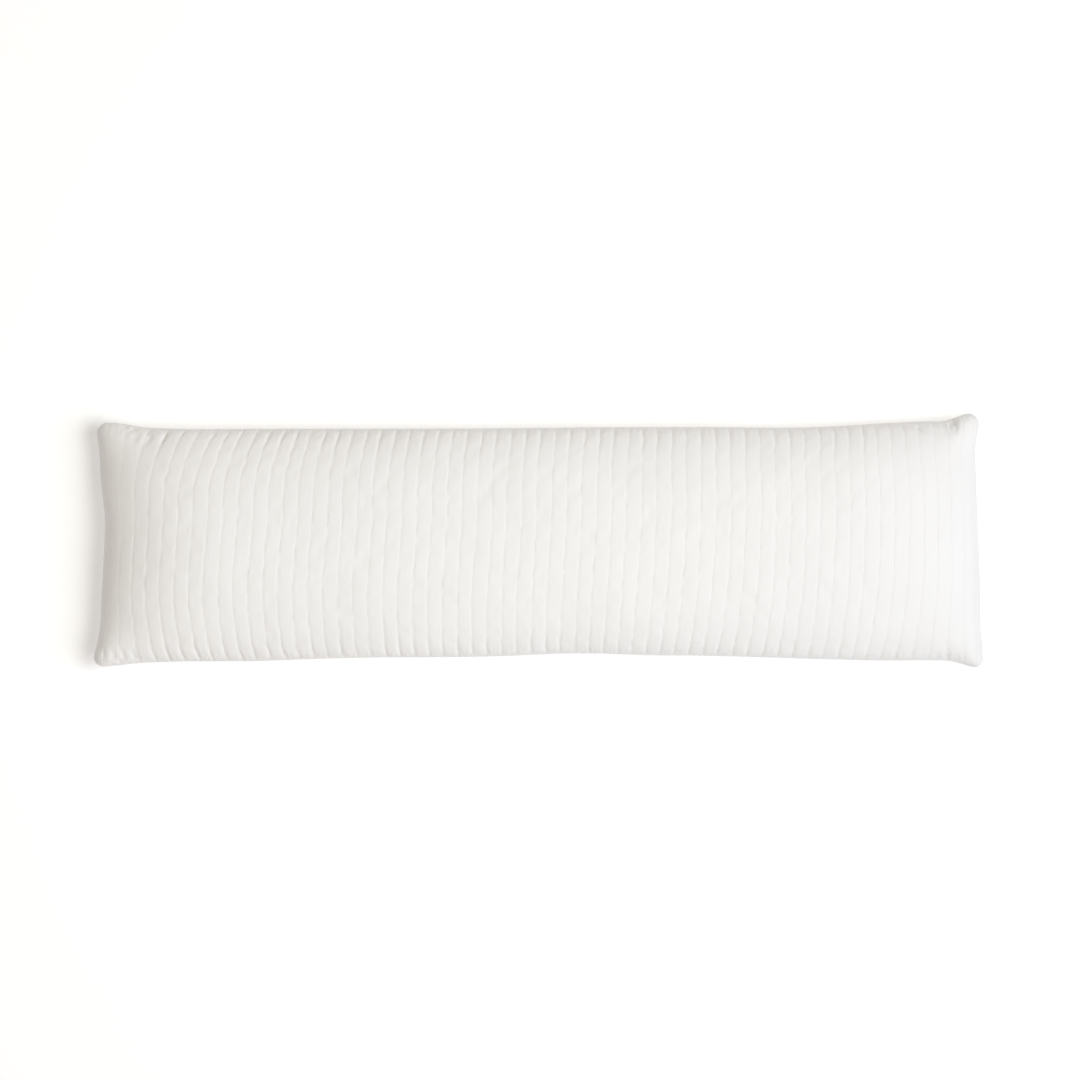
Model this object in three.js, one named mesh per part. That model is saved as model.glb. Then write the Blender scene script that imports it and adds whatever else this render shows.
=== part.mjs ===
// A long body pillow: two channel-quilted panels, sewn together round a knife edge and filled with
// shredded foam. It lies on its back, so its underside is pressed flat where it rests.
// Millimetres, +Z up, +X along the length, +Y across it. The origin is under the middle of the pillow,
// on the surface that it lies on.
import * as THREE from "three";
import { ParametricGeometry } from "three/addons/geometries/ParametricGeometry.js";
import { mergeGeometries, mergeVertices } from "three/addons/utils/BufferGeometryUtils.js";

// Driving sizes of the filled pillow
const CROWN_HEIGHT = 72; // top of the filling above the seam
const SEAM_HEIGHT = 54; // seam above the surface, halfway along a side
const BELLY_DEPTH = 72; // under panel below the seam, before the surface presses it flat
const PRESS_BLEND = 9; // height over which the under panel lifts off the surface
const LEFT_TAPER = 165; // length over which the filling rises from the left end's seam
const RIGHT_TAPER = 200;
const SIDE_FULLNESS = 2.3; // 2 is an ellipse across the width, more is fuller
const EAR_RADIUS = 18; // rounding of the four stuffed corners, seen from above
const EAR_DROOP = 9; // seam at a corner below the seam halfway along a side
const EAR_DROOP_POWER = 9; // the more, the closer to the ends the seam drops
const EAR_PLUMPNESS = 0.3; // how much fuller a corner is than the two tapers that meet there
const EAR_REACH = 45; // distance from the sides in which a corner is fuller

// Driving sizes of the flat that it rests on
const REST_REACH = 21.5; // from the middle of the length to the flat's corners, in channels
const REST_SPREAD = 0.5; // from the middle of the width to the flat's corners, as a share of the half width
const REST_HOLLOW = 0.05; // how far its sides and ends are drawn in between the corners, as a share
const REST_LIFT = 1; // least height of the under panel beside the flat

// Driving sizes of the quilting
const CHANNEL_COUNT = 61;
const CHANNEL_PITCH = 21.3; // along the cloth
const GROOVE_DEPTH = 1.5;
const GROOVE_EDGE = 0.15; // from a sewn line to the edge of its groove, as a share of the pitch
const SEAM_FADE = 0.1; // share of the half width in which a groove runs out towards a long seam
const LEFT_ROLL = 23; // cloth that the left end takes up as it rolls down to its seam
const RIGHT_ROLL = 27;
const END_ROLL_REACH = 30; // distance along the cloth in which most of that roll happens
const FAR_LEAN = 14; // a sewn line leans towards +X from the middle to the far side
const NEAR_LEAN = 9; // and away from +X towards the near side
const LINE_SWAY = 0.5; // unevenness of a sewn line
const SWAY_TURN = { perChannel: 2.4, across: 3.1 }; // radians of the sway's wave
const SWAY_END_POWER = 8; // the more, the closer to the ends the lean and the sway die out

// The corners where the seams meet, seen from above and before rounding
const CORNERS = {
  leftNear: new THREE.Vector2(-636, -182),
  rightNear: new THREE.Vector2(639, -184),
  leftFar: new THREE.Vector2(-631, 168.5),
  rightFar: new THREE.Vector2(632, 182),
};

// How far the long sides are drawn in from the straight line between their corners.
// along runs from -1 at the left end to 1 at the right end.
const LONG_SIDES = [
  { along: -1.0, far: 0, near: 0 },
  { along: -0.96, far: 0.9, near: 2.3 },
  { along: -0.94, far: 2.4, near: 3.6 },
  { along: -0.9, far: 7.2, near: 6.3 },
  { along: -0.8, far: 11, near: 9 },
  { along: -0.63, far: 12, near: 10 },
  { along: -0.45, far: 13, near: 14 },
  { along: -0.1, far: 15, near: 17 },
  { along: 0.1, far: 15, near: 21.5 },
  { along: 0.25, far: 15.5, near: 19 },
  { along: 0.4, far: 16.5, near: 18 },
  { along: 0.6, far: 18.5, near: 14.5 },
  { along: 0.8, far: 13.2, near: 11.9 },
  { along: 0.88, far: 11.4, near: 12.4 },
  { along: 0.92, far: 11, near: 11.6 },
  { along: 0.945, far: 6.4, near: 8 },
  { along: 0.963, far: 2, near: 4.2 },
  { along: 0.98, far: 0.7, near: 1.6 },
  { along: 1.0, far: 0, near: 0 },
];

// How far the ends are drawn in from the straight line between their corners.
// across runs from -1 at the near side to 1 at the far side.
const ENDS = [
  { across: -1.0, left: 0, right: 0 },
  { across: -0.9, left: 1.9, right: 2 },
  { across: -0.8, left: 6.3, right: 2.8 },
  { across: -0.7, left: 9, right: 4.4 },
  { across: -0.4, left: 11.5, right: 4.2 },
  { across: -0.1, left: 14, right: 5 },
  { across: 0.25, left: 14, right: 6.5 },
  { across: 0.5, left: 8, right: 7 },
  { across: 0.77, left: 4.5, right: 6 },
  { across: 0.9, left: 1.5, right: 1.4 },
  { across: 1.0, left: 0, right: 0 },
];

// How far a sewn line is swept along +X where it reaches the two long seams, because the seams are gathered.
const LINE_SWEEP = [
  { along: -1.0, far: 0, near: 0 },
  { along: -0.93, far: 29, near: 29 },
  { along: -0.85, far: 35, near: 33 },
  { along: -0.7, far: 28, near: 30 },
  { along: -0.45, far: 13, near: 22 },
  { along: -0.2, far: 4, near: 13 },
  { along: 0.1, far: -2, near: 4 },
  { along: 0.45, far: -13, near: -11 },
  { along: 0.7, far: -15, near: -13 },
  { along: 0.87, far: -20, near: -19 },
  { along: 1.0, far: 0, near: 0 },
];
const SWEEP_POWER = 3; // a line is straight over the crown and curves towards the seams

// Stations of the surface grid: across the width, and across one channel from its left sewn line
const HALF_ROWS = [0.27, 0.5, 0.64, 0.76, 0.86, 0.93, 0.975, 1];
const ROWS = [...HALF_ROWS.map((across) => -across).reverse(), 0, ...HALF_ROWS];
const CHANNEL_STATIONS = [0, GROOVE_EDGE, 1 - GROOVE_EDGE];
const SLOPE_STEP = 0.01; // step in channels, and in the across fraction, that the slopes are taken over
const WELD_DISTANCE = 1e-3;

const HALF_LENGTH = (CORNERS.rightNear.x - CORNERS.leftNear.x) / 2;
const HALF_WIDTH = (CORNERS.rightFar.y - CORNERS.rightNear.y) / 2;
const CLOTH_LENGTH = CHANNEL_COUNT * CHANNEL_PITCH;
const ROLLED_LENGTH = CLOTH_LENGTH - LEFT_ROLL - RIGHT_ROLL;
const COLUMN_COUNT = CHANNEL_COUNT * CHANNEL_STATIONS.length;

// Reads two columns of a table at any station, along a smooth curve.
function tableCurve(rows, station, first, second) {
  const stations = rows.map((row) => row[station]);
  const values = rows.flatMap((row) => [row[first], row[second]]);
  const curve = new THREE.CubicInterpolant(stations, values, 2, new Float64Array(2));
  return (at) => {
    const [a, b] = curve.evaluate(at);
    return { [first]: a, [second]: b };
  };
}

const longSides = tableCurve(LONG_SIDES, "along", "far", "near");
const ends = tableCurve(ENDS, "across", "left", "right");
const lineSweep = tableCurve(LINE_SWEEP, "along", "far", "near");

// Place along the length, from -1 to 1, of a point on the cloth: channel counts channels from the left end.
function alongFraction(channel, across) {
  const fromLeft = channel * CHANNEL_PITCH;
  const fromRight = CLOTH_LENGTH - fromLeft;
  const leftRoll = LEFT_ROLL * (1 - Math.exp(-fromLeft / END_ROLL_REACH));
  const rightRoll = RIGHT_ROLL * (1 - Math.exp(-fromRight / END_ROLL_REACH));
  const straight = (2 * (fromLeft - leftRoll + rightRoll - RIGHT_ROLL)) / ROLLED_LENGTH - 1;
  const along = THREE.MathUtils.clamp(straight, -1, 1);
  const sweep = (across > 0 ? lineSweep(along).far : lineSweep(along).near) * Math.abs(across) ** SWEEP_POWER;
  const lean = (across > 0 ? FAR_LEAN : NEAR_LEAN) * across;
  const sway = LINE_SWAY * Math.sin(SWAY_TURN.perChannel * channel + SWAY_TURN.across * across);
  return along + (sweep + (lean + sway) * (1 - along ** SWAY_END_POWER)) / HALF_LENGTH;
}

// Rounds a corner of the outline: the distances to its two sides, moved onto a quarter circle's grid.
function roundCorner(toEnd, toSide) {
  if (toEnd >= EAR_RADIUS || toSide >= EAR_RADIUS) return [toEnd, toSide];
  const p = 1 - toEnd / EAR_RADIUS;
  const q = 1 - toSide / EAR_RADIUS;
  return [
    EAR_RADIUS * (1 - p * Math.sqrt(1 - (q * q) / 2)),
    EAR_RADIUS * (1 - q * Math.sqrt(1 - (p * p) / 2)),
  ];
}

// A point seen from above, inside the four drawn-in sides.
function planPoint(along, across) {
  const toEnd = (1 - Math.abs(along)) * HALF_LENGTH;
  const toSide = (1 - Math.abs(across)) * HALF_WIDTH;
  const [roundedEnd, roundedSide] = roundCorner(toEnd, toSide);
  const s = Math.sign(along) * (1 - roundedEnd / HALF_LENGTH);
  const t = Math.sign(across) * (1 - roundedSide / HALF_WIDTH);
  const near = CORNERS.leftNear.clone().lerp(CORNERS.rightNear, (1 + s) / 2);
  const far = CORNERS.leftFar.clone().lerp(CORNERS.rightFar, (1 + s) / 2);
  const point = near.lerp(far, (1 + t) / 2);
  const side = longSides(s);
  const end = ends(t);
  point.x += ((1 - s) / 2) * end.left - ((1 + s) / 2) * end.right;
  point.y += ((1 - t) / 2) * side.near - ((1 + t) / 2) * side.far;
  return point;
}

// How full the pillow is at a point, from 0 on the seam to 1 over the middle. The corners are plumper.
function fullness(along, across) {
  const toEnd = (1 - Math.abs(along)) * HALF_LENGTH;
  const toSide = (1 - Math.abs(across)) * HALF_WIDTH;
  const upTaper = Math.min(toEnd / (along < 0 ? LEFT_TAPER : RIGHT_TAPER), 1);
  const endRise = Math.sqrt(Math.max(0, 1 - (1 - upTaper) ** 2));
  const sideRise = Math.sqrt(Math.max(0, 1 - Math.abs(across) ** SIDE_FULLNESS));
  const inCorner = Math.exp(-((toEnd / EAR_REACH) ** 2) - (toSide / EAR_REACH) ** 2);
  return (endRise * sideRise) ** (1 - EAR_PLUMPNESS * inCorner);
}

// Height of the under panel: as it hangs, but no lower than the surface, with a soft lift-off.
function pressedFlat(height) {
  const blend = Math.max(PRESS_BLEND - Math.abs(height), 0);
  return Math.max(height, 0) + (blend * blend) / (4 * PRESS_BLEND);
}

// A point on the smooth envelope that the tops of the channels touch.
function envelopePoint(channel, across, isUpper) {
  const along = alongFraction(channel, across);
  const plan = planPoint(along, across);
  const seam = SEAM_HEIGHT - EAR_DROOP * Math.abs(along) ** EAR_DROOP_POWER * across ** 2;
  const full = fullness(along, across);
  const height = isUpper ? seam + CROWN_HEIGHT * full : pressedFlat(seam - BELLY_DEPTH * full);
  return new THREE.Vector3(plan.x, plan.y, height);
}

// The envelope's outward direction, from its slopes along and across the cloth.
function envelopeNormal(channel, across, isUpper) {
  const at = (channelStep, acrossStep) => envelopePoint(channel + channelStep, across + acrossStep, isUpper);
  const slopeAlong = at(SLOPE_STEP, 0).sub(at(-SLOPE_STEP, 0));
  const slopeAcross = at(0, SLOPE_STEP).sub(at(0, -SLOPE_STEP));
  const normal = slopeAlong.cross(slopeAcross).normalize();
  return isUpper ? normal : normal.negate();
}

// Depth of the quilting below the envelope: full on a sewn line, none outside its groove,
// none on the seam and none where the under panel is pressed flat.
function grooveDepth(channel, across, height) {
  const toLine = Math.abs(channel - Math.round(channel));
  const profile = Math.max(0, 1 - toLine / GROOVE_EDGE);
  const nearSeam = Math.min(1, (1 - Math.abs(across)) / SEAM_FADE);
  const offSurface = Math.min(1, height / PRESS_BLEND);
  return GROOVE_DEPTH * profile * nearSeam * offSurface;
}

// Whether a point of the under panel belongs to the flat. Its sides and ends are hollow between its four
// corners, so that these carry the pillow.
function isRestingFlat(channel, across) {
  const toEnd = Math.abs(channel - CHANNEL_COUNT / 2) / REST_REACH;
  const toSide = Math.abs(across) / REST_SPREAD;
  return toEnd <= 1 - REST_HOLLOW * (1 - toSide) && toSide <= 1 - REST_HOLLOW * (1 - toEnd);
}

function pillowPoint(column, row, isUpper) {
  const stations = CHANNEL_STATIONS.length;
  const channel = Math.floor(column / stations) + CHANNEL_STATIONS[column % stations];
  const across = ROWS[row];
  const point = envelopePoint(channel, across, isUpper);
  const isSeam = column === 0 || column === COLUMN_COUNT || Math.abs(across) === 1;
  if (isSeam) return point;
  const depth = grooveDepth(channel, across, point.z);
  point.addScaledVector(envelopeNormal(channel, across, isUpper), -depth);
  if (!isUpper && !isRestingFlat(channel, across)) point.z = Math.max(point.z, REST_LIFT);
  return point;
}

// One panel as a grid over its channels. The under panel runs the other way along, so that it faces down.
function panelGeometry(isUpper) {
  const rowCount = ROWS.length - 1;
  const place = (u, v, target) => {
    const column = Math.round((isUpper ? u : 1 - u) * COLUMN_COUNT);
    target.copy(pillowPoint(column, Math.round(v * rowCount), isUpper));
  };
  const panel = new ParametricGeometry(place, COLUMN_COUNT, rowCount);
  panel.deleteAttribute("normal");
  panel.deleteAttribute("uv");
  return panel;
}

// The two panels joined along their seam, set down with the origin under their middle.
function pillowGeometry() {
  const shell = mergeVertices(mergeGeometries([panelGeometry(true), panelGeometry(false)]), WELD_DISTANCE);
  shell.computeBoundingBox();
  const middle = shell.boundingBox.getCenter(new THREE.Vector3());
  shell.translate(-middle.x, -middle.y, -shell.boundingBox.min.z);
  shell.computeVertexNormals();
  return shell;
}

const quiltedCloth = new THREE.MeshStandardMaterial({ color: 0xf0ede8, roughness: 0.95, metalness: 0 });

const pillow = new THREE.Mesh(pillowGeometry(), quiltedCloth);
pillow.name = "pillow";

const bodyPillow = new THREE.Group();
bodyPillow.name = "body_pillow";
bodyPillow.add(pillow);

export default bodyPillow;
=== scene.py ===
"""A long body pillow, seen from straight above: two channel-quilted panels of soft brushed cloth, sewn
together round a knife edge, filled, and lying on its back on a pale floor.
Metres, +X along the length, +Y across the width, +Z up."""

import math

import bmesh
import bpy
import numpy as np
from mathutils import Matrix, Vector, noise


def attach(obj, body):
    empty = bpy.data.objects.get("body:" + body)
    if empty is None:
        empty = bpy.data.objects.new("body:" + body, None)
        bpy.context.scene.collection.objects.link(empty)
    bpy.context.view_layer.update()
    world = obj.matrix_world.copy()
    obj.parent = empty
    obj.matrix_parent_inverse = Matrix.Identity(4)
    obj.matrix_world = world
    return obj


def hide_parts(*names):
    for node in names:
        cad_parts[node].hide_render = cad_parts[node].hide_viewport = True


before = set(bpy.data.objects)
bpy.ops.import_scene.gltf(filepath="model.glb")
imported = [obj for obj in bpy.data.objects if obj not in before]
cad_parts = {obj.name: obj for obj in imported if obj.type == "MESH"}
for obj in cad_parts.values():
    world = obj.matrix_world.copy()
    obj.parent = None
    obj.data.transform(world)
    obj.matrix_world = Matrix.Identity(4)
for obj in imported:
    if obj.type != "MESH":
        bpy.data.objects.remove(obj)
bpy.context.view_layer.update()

# The filled form, as its solid has it
CROWN_HEIGHT = 0.072  # top of the filling above the seam
SEAM_HEIGHT = 0.054  # seam above the floor, halfway along a side
BELLY_DEPTH = 0.072  # under panel below the seam, before the floor presses it flat
PRESS_BLEND = 0.009  # height over which the under panel lifts off the floor
LEFT_TAPER = 0.165  # length over which the filling rises from the left end's seam
RIGHT_TAPER = 0.200
SIDE_FULLNESS = 2.3  # 2 is an ellipse across the width, more is fuller
EAR_RADIUS = 0.018  # rounding of the four stuffed corners, seen from above
EAR_DROOP = 0.009  # seam at a corner below the seam halfway along a side
EAR_DROOP_POWER = 9
EAR_PLUMPNESS = 0.3  # how much fuller a corner is than the two tapers that meet there
EAR_REACH = 0.045
SEAM_WAVES = (  # height of the seam's unevenness, turns along, turns across, phase
    (0.0018, 1.45, 0.37, 0.5),
    (0.0011, 3.4, -0.27, 2.0),
)

# The channels, sewn across the width
CHANNEL_COUNT = 61
CHANNEL_PITCH = 0.0213  # along the cloth
CLOTH_LENGTH = CHANNEL_COUNT * CHANNEL_PITCH
LEFT_ROLL = 0.023  # cloth that the left end takes up as it rolls down to its seam
RIGHT_ROLL = 0.027
END_ROLL_REACH = 0.030
ROLLED_LENGTH = CLOTH_LENGTH - LEFT_ROLL - RIGHT_ROLL
FAR_LEAN = 0.014  # a sewn line leans towards +X on the far side
NEAR_LEAN = 0.009
LINE_SWAY = 0.0005  # unevenness of a sewn line
SWAY_TURN_PER_CHANNEL = 2.4
SWAY_TURN_ACROSS = 3.1
SWAY_END_POWER = 8
SWEEP_POWER = 3  # a line is straight over the crown and curves towards the seams

# The corners where the seams meet, seen from above and before rounding
LEFT_NEAR = Vector((-0.636, -0.182))
RIGHT_NEAR = Vector((0.639, -0.184))
LEFT_FAR = Vector((-0.631, 0.1685))
RIGHT_FAR = Vector((0.632, 0.182))
HALF_LENGTH = (RIGHT_NEAR.x - LEFT_NEAR.x) / 2
HALF_WIDTH = (RIGHT_FAR.y - RIGHT_NEAR.y) / 2

# How far the long sides are drawn in from the straight line between their corners, in millimetres:
# along the length from -1 to 1, the far side, the near side
LONG_SIDES = (
    (-1.0, 0, 0),
    (-0.96, 0.9, 2.3),
    (-0.94, 2.4, 3.6),
    (-0.9, 7.2, 6.3),
    (-0.8, 11, 9),
    (-0.63, 12, 10),
    (-0.45, 13, 14),
    (-0.1, 15, 17),
    (0.1, 15, 21.5),
    (0.25, 15.5, 19),
    (0.4, 16.5, 18),
    (0.6, 18.5, 14.5),
    (0.8, 13.2, 11.9),
    (0.88, 11.4, 12.4),
    (0.92, 11, 11.6),
    (0.945, 6.4, 8),
    (0.963, 2, 4.2),
    (0.98, 0.7, 1.6),
    (1.0, 0, 0),
)
# How far the ends are drawn in, in millimetres: across the width from -1 to 1, the left end, the right end
ENDS = (
    (-1.0, 0, 0),
    (-0.9, 1.9, 2),
    (-0.8, 6.3, 2.8),
    (-0.7, 9, 4.4),
    (-0.4, 11.5, 4.2),
    (-0.1, 14, 5),
    (0.25, 14, 6.5),
    (0.5, 8, 7),
    (0.77, 4.5, 6),
    (0.9, 1.5, 1.4),
    (1.0, 0, 0),
)
# How far a sewn line is swept along +X where it reaches the long seams, in millimetres:
# along the length from -1 to 1, at the far seam, at the near seam
LINE_SWEEP = (
    (-1.0, 0, 0),
    (-0.93, 29, 29),
    (-0.85, 35, 33),
    (-0.7, 28, 30),
    (-0.45, 13, 22),
    (-0.2, 4, 13),
    (0.1, -2, 4),
    (0.45, -13, -11),
    (0.7, -15, -13),
    (0.87, -20, -19),
    (1.0, 0, 0),
)
TABLE_UNIT = 0.001
SLOPE_STEP = 0.01  # in channels, and as a share of the half width
WIDTH_SAMPLES = 200

# The quilting of a panel while it still lies flat
COLUMN_STATIONS = np.array([0, 0.05, 0.12, 0.21, 0.34, 0.5, 0.66, 0.79, 0.88, 0.95])  # across a channel
COLUMNS_PER_CHANNEL = len(COLUMN_STATIONS)
COLUMNS = CHANNEL_COUNT * COLUMNS_PER_CHANNEL
ROWS = 80
ROW_CROWDING = 0.55  # how much closer the rows lie at the long seams
QUILT_DEPTH = 0.0011  # sewn line below the top of a channel
CREASE_DEPTH = 0.0010  # depth of a sewn line before the wadding swells
CREASE_WIDTH = 0.0019
CREASE_POWER = 1.3
LINE_JAG = 0.00004  # small sideways steps of the needle
LINE_JAG_ROWS = 1.3  # rows over which the steps are rounded off
START_UNEVENNESS = 0.12  # share of the crease's depth
START_WAVE_ROWS = 1.5  # steps over which it is rounded off
START_WAVE_COLUMNS = 2.5
NOISE_REACH = 8  # steps of the grid that a rounding looks at on each side
CLOTH_EASE = 0.006  # share of spare cloth between the sewn lines
GATHER_EASE = 0.02  # the same where the seams gather the panel
GATHER_REACH = 0.035
WADDING_PRESSURE = 5
CLOTH_BENDING = 5
CLOTH_WEIGHT = 0.15
SWELL_FRAMES = 14
SWELL_STEPS = 4
LIFT_CAP = 0.003  # highest that a channel may swell above its sewn lines
RELAX_ROUNDS = 1
RELAX_SHARE = 0.5
CHANNEL_PLATEAU = 0.001  # height at which the filling flattens the tops of the channels
STRETCHED_SHARE = 0.92  # of the quilting's height, left once the filling stretches the panel
END_STRETCHED_SHARE = 0.10  # the same at the ends, where the cloth is tightest
CORNER_REACH = 0.055  # the quilting runs out in the corners
LEFT_STRETCH_REACH = 0.095
RIGHT_STRETCH_REACH = 0.200

# The seam round the edge
EDGE_FADE_START = 0.001  # the quilting runs out between these distances from the seam
EDGE_FADE_END = 0.012
SEAM_PINCH = 0.0012  # the panels are drawn in beside the seam, but not at the corners
SEAM_PINCH_PLACE = 0.006
WELD_DISTANCE = 0.0005
OUTLINE_POINTS = 2000

# Gathers where the sewn lines run into the long seams
GATHER_DEPTH = 0.0009
GATHER_WIDTH = 0.003
GATHER_PLACE = 0.026  # distance from the seam, along the cloth, at which a gather is deepest
GATHER_POWER = 3  # the more, the shorter a gather is
GATHER_SPREAD = 0.6  # unevenness of the gathers, as a share of their depth
GATHER_END_FADE = 0.060  # no gathers in the corners

# Folds in the stuffed corners, in millimetres: x and y of the deep end and of the shallow end,
# seen from above, half width, depth
CORNER_FOLDS = (
    (595, 172, 598, 150, 2.6, 11),
    (588, 166, 592, 149, 2.6, 3.8),
    (580, 166, 586, 144, 2.6, 3),
    (544, 163, 549, 147, 2.6, 3.4),
    (552, 163, 556, 148, 2.6, 1.8),
    (612, 176, 618, 170, 2.8, 2.0),
    (599, -171, 597, -155, 3.6, 2.4),
    (585, -169, 588, -157, 2.8, 3.0),
    (570, -168, 573, -158, 2.8, 2.8),
    (617, -178, 616, -170, 2.6, 1.4),
    (-552, 147, -561, 132, 2.8, 3),
    (-571, 149, -579, 134, 2.8, 3),
    (-531, 149, -539, 134, 2.8, 2.6),
    (-574, 158, -590, 155, 2.8, 2.6),
    (-588, 163, -600, 152, 2.6, 1.6),
    (-620, -166, -621, -148, 3.4, 1.4),
    (-604, -168, -605, -150, 2.8, 3.4),
    (-590, -169, -595, -149, 2.8, 3.2),
    (-575, -169, -581, -150, 2.8, 2.6),
)
FOLD_EDGE_FADE = 0.006  # the folds run out beside the seam

# Puckers: fine wrinkles where the cloth is gathered, and fainter ones elsewhere
PUCKER_REACH = 0.030  # distance from a long seam
PUCKER_CORNER_REACH = 0.060
PUCKER_LEAST = 0.06

# Lumps of the filling
LUMPS = ((0.0008, 0.05), (0.0016, 0.19))  # height and size

# The stitches
STITCH_STEP = 0.004
STITCH_LENGTH = 0.0032
STITCH_WIDTH = 0.0006
STITCH_RISE = 0.00015  # middle of a stitch above the bottom of its crease
STITCH_MARGIN = 0.006  # from the long seams
STITCH_SIDES = 4
STITCH_RINGS = 3
UNIT_BALL_RADIUS = 0.5  # of a ball one unit across, scaled to a stitch

# The camera, over the pillow
IMAGE_PIXELS = 1080
PILLOW_PIXELS = 889  # length of the pillow in the image
PILLOW_LENGTH = 1.270
METRES_PER_PIXEL = PILLOW_LENGTH / PILLOW_PIXELS
PILLOW_CENTRE_PIXEL = (538.5, 540.5)
CAMERA_DISTANCE = 12
SENSOR_WIDTH = 36  # in millimetres, as the lens is

# Colours
WHITE = (1, 1, 1, 1)
CLOTH_SHADE = (0.884, 0.872, 0.858, 1)
CLOTH_LIGHT = (0.902, 0.892, 0.878, 1)
FLOOR_COLOUR = (0.87, 0.87, 0.87, 1)
FLOOR_GLOW = 0.25  # the floor glows a little, so that shadows on it stay soft
FLOOR_ROUGHNESS = 1.0
FLOOR_GLOSS = 0.0
RAMP_START = 0.3
RAMP_END = 0.7

# The cloth and the thread: grain in turns per unit, and how high it stands
MOTTLE = {"scale": 14, "detail": 4}
WRINKLES = {"scale": 75, "detail": 3, "stretch": (3.2, 1, 1)}
BRUSHING = {"scale": 120, "detail": 3, "stretch": (3.5, 0.5, 1)}
NAP = {"scale": 1300, "detail": 3, "stretch": (1.6, 1, 1)}
FIBRES = {"scale": 2600, "detail": 2}
WRINKLE_BUMP = {"strength": 0.8, "distance": 0.003}
BRUSHING_BUMP = {"strength": 0.35, "distance": 0.0005}
NAP_BUMP = {"strength": 0.4, "distance": 0.0004}
FIBRE_BUMP = {"strength": 0.5, "distance": 0.0001}
CLOTH_ROUGHNESS = (0.86, 0.98)
THREAD_ROUGHNESS = 0.7
CLOTH_SHEEN = 0.25
THREAD_SHEEN = 0.1
SHEEN_ROUGHNESS = 0.45
CLOTH_GLOSS = 0.25

# The studio
FLOOR_HALF_SIZE = 40
ROOM_TINT = (1.0, 0.916, 0.843, 1)
ROOM_STRENGTH = 0.382
SKYLIGHT_TINT = (0.98, 0.98, 1.0)
SKYLIGHT_PLACE = (3.4, -0.8, 5.0)
SKYLIGHT_STRENGTH = 1.122
SKYLIGHT_ANGLE = math.radians(45)
SOFT_BOX_TINT = (0.974, 1.0, 0.867)
SOFT_BOX_PLACE = (0.5, 0.0, 2.5)
SOFT_BOX_WATTS = 21.3
WINDOW_TINT = (0.124, 0.37, 1.0)
WINDOW_PLACE = (1.5, -0.3, 2.3)
WINDOW_WATTS = 7.2
SOFT_SOURCE_SIZE = 1.2

RANDOM_SEED = 61

random_source = np.random.default_rng(RANDOM_SEED)
GATHER_STRENGTHS = 1 + GATHER_SPREAD * random_source.uniform(-1, 1, size=(2, CHANNEL_COUNT + 1))


# The form

def table_curve(rows, column):
    """Reads a column of a table at any station, along a smooth curve through its rows."""
    stations = np.array([row[0] for row in rows])
    values = np.array([row[column] for row in rows]) * TABLE_UNIT
    slopes = np.gradient(values, stations)

    def read(at):
        index = np.clip(np.searchsorted(stations, at, side="right") - 1, 0, len(stations) - 2)
        span = stations[index + 1] - stations[index]
        share = np.clip((at - stations[index]) / span, 0, 1)
        left = 1 - share
        rise = values[index + 1] - values[index]
        start_bend = slopes[index] * span - rise
        end_bend = rise - slopes[index + 1] * span
        return values[index] + share * rise + share * left * (left * start_bend + share * end_bend)

    return read


far_side = table_curve(LONG_SIDES, 1)
near_side = table_curve(LONG_SIDES, 2)
left_end = table_curve(ENDS, 1)
right_end = table_curve(ENDS, 2)
far_sweep = table_curve(LINE_SWEEP, 1)
near_sweep = table_curve(LINE_SWEEP, 2)


def along_fraction(channel, across):
    """Place along the length, from -1 to 1, of a point on the cloth."""
    from_left = channel * CHANNEL_PITCH
    from_right = CLOTH_LENGTH - from_left
    left_roll = LEFT_ROLL * (1 - np.exp(-from_left / END_ROLL_REACH))
    right_roll = RIGHT_ROLL * (1 - np.exp(-from_right / END_ROLL_REACH))
    straight = 2 * (from_left - left_roll + right_roll - RIGHT_ROLL) / ROLLED_LENGTH - 1
    along = np.clip(straight, -1, 1)
    sweep = np.where(across > 0, far_sweep(along), near_sweep(along)) * np.abs(across) ** SWEEP_POWER
    sway = LINE_SWAY * np.sin(SWAY_TURN_PER_CHANNEL * channel + SWAY_TURN_ACROSS * across)
    lean = np.where(across > 0, FAR_LEAN, NEAR_LEAN) * across
    between_ends = 1 - along**SWAY_END_POWER
    return along + (sweep + (lean + sway) * between_ends) / HALF_LENGTH


def rounded_corner(to_end, to_side):
    """Distances from an end and a side, moved so that the corner between them is a quarter circle."""
    end_share = np.clip(1 - to_end / EAR_RADIUS, 0, 1)
    side_share = np.clip(1 - to_side / EAR_RADIUS, 0, 1)
    inside = (end_share > 0) & (side_share > 0)
    round_end = EAR_RADIUS * (1 - end_share * np.sqrt(1 - side_share * side_share / 2))
    round_side = EAR_RADIUS * (1 - side_share * np.sqrt(1 - end_share * end_share / 2))
    return np.where(inside, round_end, to_end), np.where(inside, round_side, to_side)


def plan_point(along, across):
    """A point seen from above, inside the four drawn-in sides."""
    to_end, to_side = rounded_corner((1 - np.abs(along)) * HALF_LENGTH, (1 - np.abs(across)) * HALF_WIDTH)
    along = np.sign(along) * (1 - to_end / HALF_LENGTH)
    across = np.sign(across) * (1 - to_side / HALF_WIDTH)
    right, left = (1 + along) / 2, (1 - along) / 2
    far, near = (1 + across) / 2, (1 - across) / 2
    x = near * (left * LEFT_NEAR.x + right * RIGHT_NEAR.x) + far * (left * LEFT_FAR.x + right * RIGHT_FAR.x)
    y = near * (left * LEFT_NEAR.y + right * RIGHT_NEAR.y) + far * (left * LEFT_FAR.y + right * RIGHT_FAR.y)
    x = x + left * left_end(across) - right * right_end(across)
    y = y + near * near_side(along) - far * far_side(along)
    return x, y


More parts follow.
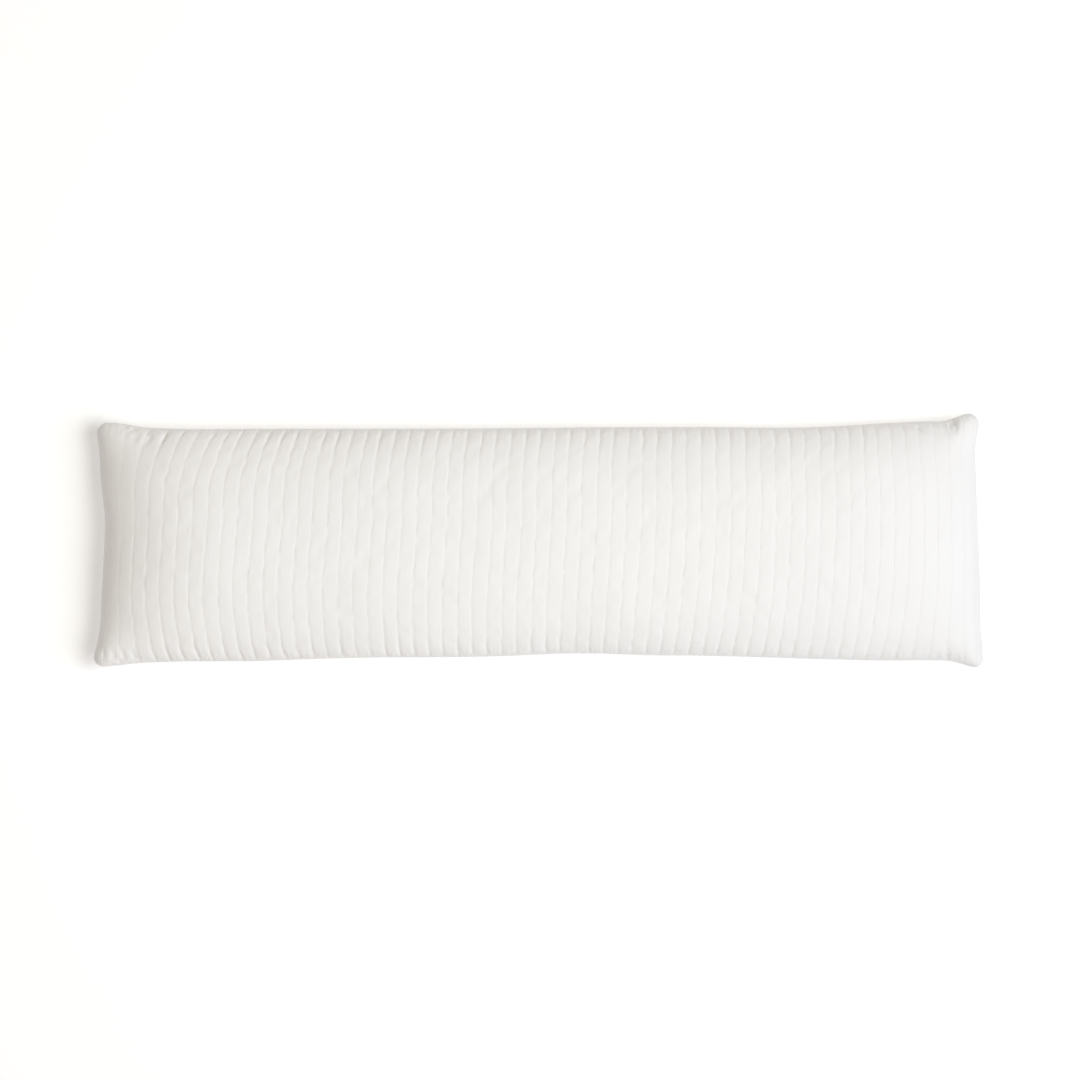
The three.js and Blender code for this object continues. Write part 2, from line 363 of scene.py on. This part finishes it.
def side_rise(across):
    """How far the filling rises between the long seams, from 0 to 1."""
    return np.sqrt(np.clip(1 - np.abs(across) ** SIDE_FULLNESS, 0, 1))


def end_rise(along):
    """How far the filling rises between the end seams, from 0 to 1."""
    taper = np.where(along < 0, LEFT_TAPER, RIGHT_TAPER)
    to_end = np.minimum((1 - np.abs(along)) * HALF_LENGTH / taper, 1)
    return np.sqrt(np.clip(1 - (1 - to_end) ** 2, 0, 1))


def fullness(along, across):
    """How full the pillow is at a point, from 0 on the seam to 1 over the middle."""
    to_end = (1 - np.abs(along)) * HALF_LENGTH / EAR_REACH
    to_side = (1 - np.abs(across)) * HALF_WIDTH / EAR_REACH
    in_corner = np.exp(-(to_end**2) - to_side**2)
    return (side_rise(across) * end_rise(along)) ** (1 - EAR_PLUMPNESS * in_corner)


def seam_height(along, across):
    """Height of the seam, drooping towards the corners and a little uneven."""
    height = SEAM_HEIGHT - EAR_DROOP * np.abs(along) ** EAR_DROOP_POWER * across**2
    for wave, turns_along, turns_across, phase in SEAM_WAVES:
        height = height + wave * np.sin(2 * math.pi * (turns_along * along + turns_across * across) + phase)
    return height


def pressed_flat(height):
    """Height of the under panel: as it hangs, but no lower than the floor, with a soft lift-off."""
    blend = np.maximum(PRESS_BLEND - np.abs(height), 0)
    return np.maximum(height, 0) + blend * blend / (4 * PRESS_BLEND)


def envelope(channel, across, is_upper):
    """Points on the smooth form that the tops of the channels touch."""
    along = along_fraction(channel, across)
    x, y = plan_point(along, across)
    full = fullness(along, across)
    seam = SEAM_HEIGHT * full + seam_height(along, across) * (1 - full)
    height = seam + CROWN_HEIGHT * full if is_upper else pressed_flat(seam - BELLY_DEPTH * full)
    return np.stack([x, y, height], axis=-1)


def envelope_normal(channel, across, is_upper):
    """The form's outward direction, from its slopes along and across the cloth."""
    inner_channel = np.clip(channel, SLOPE_STEP, CHANNEL_COUNT - SLOPE_STEP)
    inner_across = np.clip(across, SLOPE_STEP - 1, 1 - SLOPE_STEP)
    slope_along = envelope(inner_channel + SLOPE_STEP, inner_across, is_upper)
    slope_along = slope_along - envelope(inner_channel - SLOPE_STEP, inner_across, is_upper)
    slope_across = envelope(inner_channel, inner_across + SLOPE_STEP, is_upper)
    slope_across = slope_across - envelope(inner_channel, inner_across - SLOPE_STEP, is_upper)
    normal = np.cross(slope_along, slope_across)
    normal /= np.linalg.norm(normal, axis=-1, keepdims=True)
    return normal if is_upper else -normal


def cloth_width_curve():
    """Distances over the crown from the middle to the seam, and the places across the width there."""
    across = np.sin(np.linspace(0, math.pi / 2, WIDTH_SAMPLES))
    widths = np.diff(across * HALF_WIDTH)
    rises = np.diff(side_rise(across) * CROWN_HEIGHT)
    lengths = np.concatenate([[0], np.cumsum(np.hypot(widths, rises))])
    return lengths, across


CLOTH_LENGTHS, CLOTH_PLACES = cloth_width_curve()
CLOTH_HALF_WIDTH = CLOTH_LENGTHS[-1]


# The quilted panel, while it still lies flat

def grid_values(mesh):
    """The vertices of a panel as rows and columns of points."""
    points = np.empty(len(mesh.vertices) * 3)
    mesh.vertices.foreach_get("co", points)
    return points.reshape(ROWS + 1, COLUMNS + 1, 3)


def smooth_noise(shape, widths):
    """Random unevenness, rounded off along each axis over a number of steps."""
    uneven = random_source.normal(size=shape)
    for axis, width in enumerate(widths):
        if width:
            kernel = np.exp(-0.5 * (np.arange(-NOISE_REACH, NOISE_REACH + 1) / width) ** 2)
            uneven = np.apply_along_axis(np.convolve, axis, uneven, kernel / kernel.sum(), "same")
    return uneven / uneven.std()


def jagged_lines():
    """How far the needle steps aside, row by row and line by line. The two end seams run straight."""
    jag = LINE_JAG * smooth_noise((ROWS + 1, CHANNEL_COUNT + 1), (LINE_JAG_ROWS, 0))
    jag[:, [0, -1]] = 0
    return jag


def row_places():
    """Places of the rows across a flat panel, closer together towards the long seams."""
    even = np.linspace(-1, 1, ROWS + 1)
    crowded = np.sin(even * math.pi / 2)
    return CLOTH_HALF_WIDTH * (even + ROW_CROWDING * (crowded - even))


def flat_panel(jag):
    """A panel as it is quilted: flat, with a crease along each sewn line."""
    shape = bmesh.new()
    bmesh.ops.create_grid(shape, x_segments=COLUMNS, y_segments=ROWS, size=1)
    mesh = bpy.data.meshes.new("flat_panel")
    shape.to_mesh(mesh)
    shape.free()
    points = grid_values(mesh)
    column = np.arange(COLUMNS + 1)
    channel = column // COLUMNS_PER_CHANNEL + COLUMN_STATIONS[column % COLUMNS_PER_CHANNEL]
    to_line = np.abs(channel - np.round(channel)) * CHANNEL_PITCH
    crease = CREASE_DEPTH * (1 - np.exp(-((to_line / CREASE_WIDTH) ** CREASE_POWER)))
    line = np.minimum(channel.astype(int), CHANNEL_COUNT - 1)
    past_line = channel - line
    points[..., 0] = channel * CHANNEL_PITCH + jag[:, line] * (1 - past_line) + jag[:, line + 1] * past_line
    points[..., 1] = row_places()[:, None]
    uneven = smooth_noise((ROWS + 1, COLUMNS + 1), (START_WAVE_ROWS, START_WAVE_COLUMNS))
    points[..., 2] = crease * (1 + START_UNEVENNESS * uneven)
    mesh.vertices.foreach_set("co", points.ravel())
    mesh.update()
    panel = bpy.data.objects.new("flat_panel", mesh)
    bpy.context.scene.collection.objects.link(panel)
    return panel


def sewn_columns():
    """The columns of a panel that lie on sewn lines or end seams."""
    return np.arange(0, COLUMNS + 1, COLUMNS_PER_CHANNEL)


def seam_distances(points):
    """Distances of each point of a flat panel from its nearer end seam and its nearer long seam."""
    to_end = np.minimum(points[..., 0], CLOTH_LENGTH - points[..., 0])
    to_side = CLOTH_HALF_WIDTH - np.abs(points[..., 1])
    return np.maximum(to_end, 0), np.maximum(to_side, 0)


def hold_sewn_lines(panel, points):
    """Pins the sewn lines and the seams, and eases more cloth in near the seams."""
    index = np.arange(points[..., 0].size).reshape(ROWS + 1, COLUMNS + 1)
    held = np.concatenate([index[:, sewn_columns()].ravel(), index[0], index[-1]])
    sewn = panel.vertex_groups.new(name="sewn")
    sewn.add(np.unique(held).tolist(), 1.0, "REPLACE")
    gathered = panel.vertex_groups.new(name="gathered")
    to_end, to_side = seam_distances(points)
    share = np.clip(1 - np.minimum(to_end, to_side) / GATHER_REACH, 0, 1).ravel()
    for vertex in np.flatnonzero(share):
        gathered.add([int(vertex)], float(share[vertex]), "REPLACE")


def swell(panel):
    """Lets the wadding push the cloth up between the sewn lines, and returns the panel's points."""
    start = grid_values(panel.data)
    hold_sewn_lines(panel, start)
    cloth = panel.modifiers.new("wadding", "CLOTH")
    cloth.settings.quality = SWELL_STEPS
    cloth.settings.mass = CLOTH_WEIGHT
    cloth.settings.bending_stiffness = CLOTH_BENDING
    cloth.settings.use_pressure = True
    cloth.settings.uniform_pressure_force = WADDING_PRESSURE
    cloth.settings.vertex_group_mass = "sewn"
    cloth.settings.vertex_group_shrink = "gathered"
    cloth.settings.shrink_min = -CLOTH_EASE
    cloth.settings.shrink_max = -GATHER_EASE
    cloth.settings.effector_weights.gravity = 0
    cloth.point_cache.frame_start = 1
    cloth.point_cache.frame_end = SWELL_FRAMES
    for moment in range(1, SWELL_FRAMES + 1):
        bpy.context.scene.frame_set(moment)
    swollen = panel.evaluated_get(bpy.context.evaluated_depsgraph_get())
    return relaxed(grid_values(swollen.data))


def relaxed(points):
    """Evens out small kinks between the sewn lines, and caps the swelling."""
    free = np.ones(COLUMNS + 1)
    free[sewn_columns()] = 0
    free = free[1:-1, None] * RELAX_SHARE
    for _ in range(RELAX_ROUNDS):
        inner = points[1:-1, 1:-1]
        beside = points[2:, 1:-1] + points[:-2, 1:-1]
        points[1:-1, 1:-1] = inner + free * (beside / 2 - inner)
    points[..., 2] = np.minimum(points[..., 2], LIFT_CAP)
    return points


# The pillow

def smooth_step(start, end, value):
    """Rises smoothly from 0 at the start to 1 at the end."""
    share = np.clip((value - start) / (end - start), 0, 1)
    return share * share * (3 - 2 * share)


def hump(value, power=1):
    """Rises from 0 to 1 at a value of 1, and then dies away."""
    return (value * np.exp(1 - value)) ** power


def plateau(height):
    """A height that levels off."""
    return CHANNEL_PLATEAU * np.tanh(height / CHANNEL_PLATEAU)


def quilting(points):
    """Height of the quilting over the form, stretched by the filling and most of all at the ends."""
    away = smooth_step(0, LEFT_STRETCH_REACH, points[..., 0])
    away = away * smooth_step(0, RIGHT_STRETCH_REACH, CLOTH_LENGTH - points[..., 0])
    to_end, to_side = seam_distances(points)
    in_corner = np.exp(-((to_end / CORNER_REACH) ** 2) - (to_side / CORNER_REACH) ** 2)
    share = (END_STRETCHED_SHARE + (STRETCHED_SHARE - END_STRETCHED_SHARE) * away) * (1 - in_corner)
    return share * (plateau(points[..., 2]) - plateau(QUILT_DEPTH))


def puckered(points):
    """How much a flat panel is puckered at each point, from 0 to 1."""
    to_end, to_side = seam_distances(points)
    beside_seam = np.exp(-((to_side / PUCKER_REACH) ** 2))
    in_corner = np.exp(-((to_end / PUCKER_CORNER_REACH) ** 2) - (to_side / PUCKER_CORNER_REACH) ** 2)
    return np.maximum(np.maximum(beside_seam, in_corner), PUCKER_LEAST)


def lumps(points):
    """Uneven height of the filling under a panel."""
    heights = np.zeros(points[..., 0].size)
    for height, size in LUMPS:
        places = points[..., :2].reshape(-1, 2) / size
        heights += height * np.array([noise.noise((x, y, 0)) for x, y in places.tolist()])
    return heights.reshape(points.shape[:-1])


def gathers(points):
    """Depth of the small folds where the sewn lines run into the long seams."""
    channel = points[..., 0] / CHANNEL_PITCH
    line = np.clip(np.round(channel), 0, CHANNEL_COUNT).astype(int)
    side = (points[..., 1] > 0).astype(int)
    to_line = (channel - line) * CHANNEL_PITCH
    to_end, to_side = seam_distances(points)
    trough = np.exp(-((to_line / GATHER_WIDTH) ** 2)) * smooth_step(0, GATHER_END_FADE, to_end)
    return GATHER_DEPTH * GATHER_STRENGTHS[side, line] * trough * hump(to_side / GATHER_PLACE, GATHER_POWER)


def corner_folds(placed):
    """Depth of the folds in the stuffed corners, deepest at the seam."""
    depth = np.zeros(placed.shape[:-1])
    for start_x, start_y, end_x, end_y, half_width, fold_depth in CORNER_FOLDS:
        start = np.array([start_x, start_y]) * TABLE_UNIT
        run = np.array([end_x, end_y]) * TABLE_UNIT - start
        offset = placed[..., :2] - start
        share = np.clip((offset @ run) / (run @ run), 0, 1)
        aside = np.linalg.norm(offset - share[..., None] * run, axis=-1) / (half_width * TABLE_UNIT)
        depth += fold_depth * TABLE_UNIT * (1 - share) * np.exp(-(aside**2))
    return depth


def fill_panel(points, is_upper):
    """Bends a flat quilted panel over the filled form."""
    channel = np.clip(points[..., 0] / CHANNEL_PITCH, 0, CHANNEL_COUNT)
    reach = np.interp(np.abs(points[..., 1]), CLOTH_LENGTHS, CLOTH_PLACES)
    across = np.sign(points[..., 1]) * reach
    placed = envelope(channel, across, is_upper)
    to_end, to_side = seam_distances(points)
    to_seam = np.minimum(to_end, to_side)
    from_corner = smooth_step(0, EAR_REACH, np.maximum(to_end, to_side))
    off_floor = 1 if is_upper else smooth_step(0, PRESS_BLEND, placed[..., 2])
    raised = quilting(points) + lumps(points) * off_floor
    raised *= smooth_step(EDGE_FADE_START, EDGE_FADE_END, to_seam)
    raised -= corner_folds(placed) * smooth_step(0, FOLD_EDGE_FADE, to_seam)
    raised -= gathers(points) + SEAM_PINCH * from_corner * hump(to_seam / SEAM_PINCH_PLACE)
    placed += raised[..., None] * envelope_normal(channel, across, is_upper)
    placed[..., 2] = np.maximum(placed[..., 2], 0)
    return placed


def turned_round(points):
    """The same points of a flat panel, once it is turned end for end."""
    turned = points.copy()
    turned[..., 0] = CLOTH_LENGTH - turned[..., 0]
    turned[..., 1] *= -1
    return turned


def to_middle():
    """The move that brings the middle of the outline over the origin."""
    along_seam = np.linspace(0, CHANNEL_COUNT, OUTLINE_POINTS)
    across_seam = np.linspace(-1, 1, OUTLINE_POINTS)
    seams = [envelope(along_seam, np.full(OUTLINE_POINTS, side), True) for side in (-1, 1)]
    seams += [envelope(np.full(OUTLINE_POINTS, end), across_seam, True) for end in (0, CHANNEL_COUNT)]
    outline = np.concatenate(seams)
    middle = (outline.min(axis=0) + outline.max(axis=0)) / 2
    return np.array([-middle[0], -middle[1], 0])


def finished_piece(name, mesh, material):
    """Adds a mesh to the scene as a piece of the pillow."""
    mesh.shade_smooth()
    mesh.materials.append(material)
    piece = bpy.data.objects.new(name, mesh)
    bpy.context.scene.collection.objects.link(piece)
    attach(piece, "root")
    return piece


def lay_out_cloth(shape, flat_places):
    """Gives each panel its own cloth coordinates, side by side and at one scale."""
    layout = shape.loops.layers.uv.new("cloth")
    places = flat_places[:, :2] / CLOTH_LENGTH
    places[:, 1] += CLOTH_HALF_WIDTH / CLOTH_LENGTH
    places[len(places) // 2 :, 1] += 2 * CLOTH_HALF_WIDTH / CLOTH_LENGTH
    for face in shape.faces:
        for loop in face.loops:
            loop[layout].uv = places[loop.vert.index]


def make_pillow(upper_flat, under_flat, shift):
    """Two panels over the filled form, welded along the seam."""
    shape = bmesh.new()
    bmesh.ops.create_grid(shape, x_segments=COLUMNS, y_segments=ROWS, size=1)
    upper_face_count = len(shape.faces)
    bmesh.ops.create_grid(shape, x_segments=COLUMNS, y_segments=ROWS, size=1)
    bmesh.ops.reverse_faces(shape, faces=shape.faces[upper_face_count:])
    shape.verts.index_update()
    lay_out_cloth(shape, np.concatenate([upper_flat.reshape(-1, 3), under_flat.reshape(-1, 3)]))
    panels = [fill_panel(upper_flat, True), fill_panel(under_flat, False)]
    places = np.concatenate([panel.reshape(-1, 3) for panel in panels])
    puckers = np.concatenate([puckered(flat).ravel() for flat in (upper_flat, under_flat)])
    pucker_layer = shape.verts.layers.float.new("puckered")
    for vertex, place, share in zip(shape.verts, places + shift, puckers):
        vertex.co = place
        vertex[pucker_layer] = share
    seam = [vertex for vertex in shape.verts if vertex.is_boundary]
    bmesh.ops.remove_doubles(shape, verts=seam, dist=WELD_DISTANCE)
    mesh = bpy.data.meshes.new("quilted_pillow")
    shape.to_mesh(mesh)
    shape.free()
    return mesh


# The stitches

def one_stitch():
    """A short stitch along +Y with pointed ends: its points, and its faces as lists of points."""
    shape = bmesh.new()
    bmesh.ops.create_uvsphere(
        shape, u_segments=STITCH_SIDES, v_segments=STITCH_RINGS, radius=UNIT_BALL_RADIUS
    )
    bmesh.ops.rotate(shape, verts=shape.verts, matrix=Matrix.Rotation(math.pi / 2, 3, "X"))
    bmesh.ops.scale(shape, verts=shape.verts, vec=(STITCH_WIDTH, STITCH_LENGTH, STITCH_WIDTH))
    bmesh.ops.translate(shape, verts=shape.verts, vec=(0, 0, STITCH_RISE))
    points = np.array([vertex.co for vertex in shape.verts])
    faces = [[vertex.index for vertex in face.verts] for face in shape.faces]
    shape.free()
    return points, faces


def sew_lines(jag, is_upper, shift):
    """All the stitches of a panel, lying in its sewn lines."""
    points, faces = one_stitch()
    count = int(2 * (CLOTH_HALF_WIDTH - STITCH_MARGIN) / STITCH_STEP)
    places = (np.arange(count) - (count - 1) / 2) * STITCH_STEP
    middles = []
    for line in range(1, CHANNEL_COUNT):
        along = line * CHANNEL_PITCH + np.interp(places, row_places(), jag[:, line])
        middles.append(np.stack([along, places, np.zeros(count)], axis=-1))
    flat = np.concatenate(middles)[:, None] + points
    placed = fill_panel(flat if is_upper else turned_round(flat), is_upper) + shift
    outward = faces if is_upper else [face[::-1] for face in faces]
    starts = range(0, flat[..., 0].size, len(points))
    all_faces = [[start + corner for corner in face] for start in starts for face in outward]
    mesh = bpy.data.meshes.new("quilting_stitches")
    mesh.from_pydata(placed.reshape(-1, 3), [], all_faces)
    return mesh


# Materials

def add_noise(material, coordinates, scale, detail, stretch=(1, 1, 1)):
    """Noise on a material, at a scale in turns per unit, stretched along the axes."""
    nodes, links = material.node_tree.nodes, material.node_tree.links
    mapping = nodes.new("ShaderNodeMapping")
    mapping.inputs["Scale"].default_value = stretch
    links.new(coordinates, mapping.inputs["Vector"])
    texture = nodes.new("ShaderNodeTexNoise")
    texture.inputs["Scale"].default_value = scale
    texture.inputs["Detail"].default_value = detail
    links.new(mapping.outputs["Vector"], texture.inputs["Vector"])
    return texture.outputs["Fac"]


def add_ramp(material, value, low, high):
    """Two colours, mixed by a noise value."""
    nodes, links = material.node_tree.nodes, material.node_tree.links
    ramp = nodes.new("ShaderNodeValToRGB")
    ramp.color_ramp.elements[0].position = RAMP_START
    ramp.color_ramp.elements[0].color = low
    ramp.color_ramp.elements[1].position = RAMP_END
    ramp.color_ramp.elements[1].color = high
    links.new(value, ramp.inputs["Fac"])
    return ramp.outputs["Color"]


def add_bump(material, height, strength, distance, below=None):
    """A bump over another one, if there is one."""
    nodes, links = material.node_tree.nodes, material.node_tree.links
    bump = nodes.new("ShaderNodeBump")
    bump.inputs["Strength"].default_value = strength
    bump.inputs["Distance"].default_value = distance
    links.new(height, bump.inputs["Height"])
    if below:
        links.new(below, bump.inputs["Normal"])
    return bump.outputs["Normal"]


def new_cloth(name, sheen):
    """A matt material with a faint sheen, and its shader."""
    material = bpy.data.materials.new(name)
    material.use_nodes = True
    shader = material.node_tree.nodes["Principled BSDF"]
    shader.inputs["Specular IOR Level"].default_value = CLOTH_GLOSS
    shader.inputs["Sheen Weight"].default_value = sheen
    shader.inputs["Sheen Roughness"].default_value = SHEEN_ROUGHNESS
    return material, shader


def brushed_cloth():
    """Warm white cloth with a short nap, brushed across the width."""
    material, shader = new_cloth("brushed_cloth", CLOTH_SHEEN)
    nodes, links = material.node_tree.nodes, material.node_tree.links
    cloth = nodes.new("ShaderNodeUVMap")
    cloth.uv_map = "cloth"
    solid = nodes.new("ShaderNodeTexCoord").outputs["Object"]
    mottle = add_noise(material, solid, **MOTTLE)
    wrinkles = add_noise(material, cloth.outputs["UV"], **WRINKLES)
    gathered = nodes.new("ShaderNodeAttribute")
    gathered.attribute_name = "puckered"
    puckers = nodes.new("ShaderNodeMath")
    puckers.operation = "MULTIPLY"
    links.new(wrinkles, puckers.inputs[0])
    links.new(gathered.outputs["Fac"], puckers.inputs[1])
    brushing = add_noise(material, cloth.outputs["UV"], **BRUSHING)
    nap = add_noise(material, cloth.outputs["UV"], **NAP)
    links.new(add_ramp(material, mottle, CLOTH_SHADE, CLOTH_LIGHT), shader.inputs["Base Color"])
    rough = nodes.new("ShaderNodeMapRange")
    rough.inputs["To Min"].default_value = CLOTH_ROUGHNESS[0]
    rough.inputs["To Max"].default_value = CLOTH_ROUGHNESS[1]
    links.new(brushing, rough.inputs["Value"])
    links.new(rough.outputs["Result"], shader.inputs["Roughness"])
    puckered_cloth = add_bump(material, puckers.outputs["Value"], **WRINKLE_BUMP)
    brushed = add_bump(material, brushing, **BRUSHING_BUMP, below=puckered_cloth)
    links.new(add_bump(material, nap, **NAP_BUMP, below=brushed), shader.inputs["Normal"])
    return material


def sewing_thread():
    """Warm white thread, a little smoother than the cloth."""
    material, shader = new_cloth("sewing_thread", THREAD_SHEEN)
    nodes, links = material.node_tree.nodes, material.node_tree.links
    solid = nodes.new("ShaderNodeTexCoord").outputs["Object"]
    fibres = add_noise(material, solid, **FIBRES)
    links.new(add_ramp(material, fibres, CLOTH_SHADE, CLOTH_LIGHT), shader.inputs["Base Color"])
    shader.inputs["Roughness"].default_value = THREAD_ROUGHNESS
    links.new(add_bump(material, fibres, **FIBRE_BUMP), shader.inputs["Normal"])
    return material


def floor_paint():
    """Plain pale floor."""
    material = bpy.data.materials.new("floor_paint")
    material.use_nodes = True
    shader = material.node_tree.nodes["Principled BSDF"]
    shader.inputs["Base Color"].default_value = FLOOR_COLOUR
    shader.inputs["Emission Color"].default_value = WHITE
    shader.inputs["Emission Strength"].default_value = FLOOR_GLOW
    shader.inputs["Roughness"].default_value = FLOOR_ROUGHNESS
    shader.inputs["Specular IOR Level"].default_value = FLOOR_GLOSS
    return material


# The studio

def lay_floor():
    """A wide floor under the pillow."""
    shape = bmesh.new()
    bmesh.ops.create_grid(shape, x_segments=1, y_segments=1, size=FLOOR_HALF_SIZE)
    mesh = bpy.data.meshes.new("floor")
    shape.to_mesh(mesh)
    shape.free()
    mesh.materials.append(floor_paint())
    floor = bpy.data.objects.new("floor", mesh)
    bpy.context.scene.collection.objects.link(floor)


def set_camera():
    """Looks straight down, so that the pillow fills the same pixels as in the photograph."""
    camera = bpy.data.cameras.new("camera")
    camera.sensor_width = SENSOR_WIDTH
    camera.lens = SENSOR_WIDTH * CAMERA_DISTANCE / (IMAGE_PIXELS * METRES_PER_PIXEL)
    holder = bpy.data.objects.new("camera", camera)
    aside = (IMAGE_PIXELS / 2 - PILLOW_CENTRE_PIXEL[0]) * METRES_PER_PIXEL
    up = (PILLOW_CENTRE_PIXEL[1] - IMAGE_PIXELS / 2) * METRES_PER_PIXEL
    holder.location = (aside, up, SEAM_HEIGHT + CAMERA_DISTANCE)
    bpy.context.scene.collection.objects.link(holder)
    bpy.context.scene.camera = holder


def add_light(name, kind, place, energy, tint):
    """A light that points at the middle of the pillow."""
    light = bpy.data.lights.new(name, kind)
    light.energy = energy
    light.color = tint
    holder = bpy.data.objects.new(name, light)
    holder.location = place
    holder.rotation_euler = (-Vector(place)).to_track_quat("-Z", "Y").to_euler()
    bpy.context.scene.collection.objects.link(holder)
    return light


def light_studio():
    """A warm pale room, broad soft light from the right, a soft box overhead and a cool window."""
    world = bpy.data.worlds.new("studio")
    world.use_nodes = True
    background = world.node_tree.nodes["Background"]
    background.inputs["Color"].default_value = ROOM_TINT
    background.inputs["Strength"].default_value = ROOM_STRENGTH
    bpy.context.scene.world = world
    skylight = add_light("skylight", "SUN", SKYLIGHT_PLACE, SKYLIGHT_STRENGTH, SKYLIGHT_TINT)
    skylight.angle = SKYLIGHT_ANGLE
    soft_box = add_light("soft_box", "AREA", SOFT_BOX_PLACE, SOFT_BOX_WATTS, SOFT_BOX_TINT)
    window = add_light("window", "AREA", WINDOW_PLACE, WINDOW_WATTS, WINDOW_TINT)
    for source in (soft_box, window):
        source.shape = "DISK"
        source.size = SOFT_SOURCE_SIZE
    bpy.context.scene.view_settings.view_transform = "Standard"


lay_floor()
set_camera()
light_studio()

jag = jagged_lines()
panel = flat_panel(jag)
upper_flat = swell(panel)
under_flat = turned_round(upper_flat)[::-1, ::-1]
bpy.data.objects.remove(panel)
bpy.context.scene.frame_set(1)

shift = to_middle()
pillow = finished_piece("quilted_pillow", make_pillow(upper_flat, under_flat, shift), brushed_cloth())
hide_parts("pillow")
thread = sewing_thread()
finished_piece("quilting_stitches_upper", sew_lines(jag, True, shift), thread)
finished_piece("quilting_stitches_under", sew_lines(jag, False, shift), thread)
